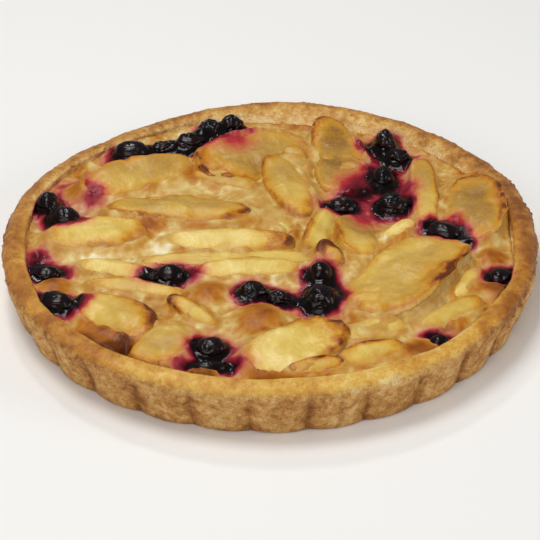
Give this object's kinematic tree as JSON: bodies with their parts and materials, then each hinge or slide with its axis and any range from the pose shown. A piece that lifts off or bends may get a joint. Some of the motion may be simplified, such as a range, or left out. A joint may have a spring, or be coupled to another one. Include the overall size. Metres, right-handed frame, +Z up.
{
  "type": "fruit tart",
  "caption": "Round baked fruit tart with a fluted shortcrust case, filled with custard and topped with browned apple slices and dark berries in their own juice.",
  "frame": {"origin": "the middle of the flat underside", "axes": "+Z up, out of the filling; -Y is the side nearest the viewer and +X is to their right"},
  "size_m": [0.2597, 0.2592, 0.0327],
  "materials": {
    "crust": "baked shortcrust, matte and crumbly, browned at the rim",
    "custard": "baked custard, pale cream, browned and glossy where it puffed up",
    "apple": "baked apple, moist, pale yellow with browned rims",
    "berry": "baked dark berry, wet and wrinkled skin"
  },
  "bodies": {
    "root": {"berry_back_big": "berry", "berry_back_cluster": "berry", "berry_back_crushed": "berry", "berry_back_right": "berry", "berry_back_right_low": "berry", "berry_back_tall": "berry", "berry_back_wrinkled": "berry", "berry_centre_right": "berry", "berry_front": "berry", "berry_front_right": "berry", "berry_front_sunk": "berry", "berry_left": "berry", "berry_left_front": "berry", "berry_left_sunk": "berry", "berry_left_wall": "berry", "berry_middle": "berry", "berry_middle_crushed": "berry", "berry_middle_tall": "berry", "berry_middle_wrinkled": "berry", "berry_right": "berry", "berry_right_sunk": "berry", "berry_right_upper": "berry", "berry_right_wrinkled": "berry", "berry_strip": "berry", "berry_strip_small": "berry", "crust": "crust", "custard": "custard", "slice_back_centre": "apple", "slice_back_left": "apple", "slice_back_right": "apple", "slice_back_right_low": "apple", "slice_back_under": "apple", "slice_boat": "apple", "slice_boat_front": "apple", "slice_boat_left": "apple", "slice_centre_right_a": "apple", "slice_centre_right_b": "apple", "slice_far_right": "apple", "slice_front_big": "apple", "slice_front_edge_a": "apple", "slice_front_edge_b": "apple", "slice_front_left": "apple", "slice_front_pale": "apple", "slice_front_right_pale": "apple", "slice_front_right_strip": "apple", "slice_front_small": "apple", "slice_left_lens": "apple", "slice_left_strip": "apple", "slice_left_strip_low": "apple", "slice_long_low": "apple", "slice_long_middle": "apple", "slice_middle_lens": "apple", "slice_middle_lump": "apple", "slice_peak": "apple", "slice_right_cream": "apple", "slice_right_low": "apple", "slice_right_round": "apple", "slice_right_strip": "apple", "slice_under_custard": "apple", "slice_yellow_strip": "apple"}
  },
  "joints": []
}
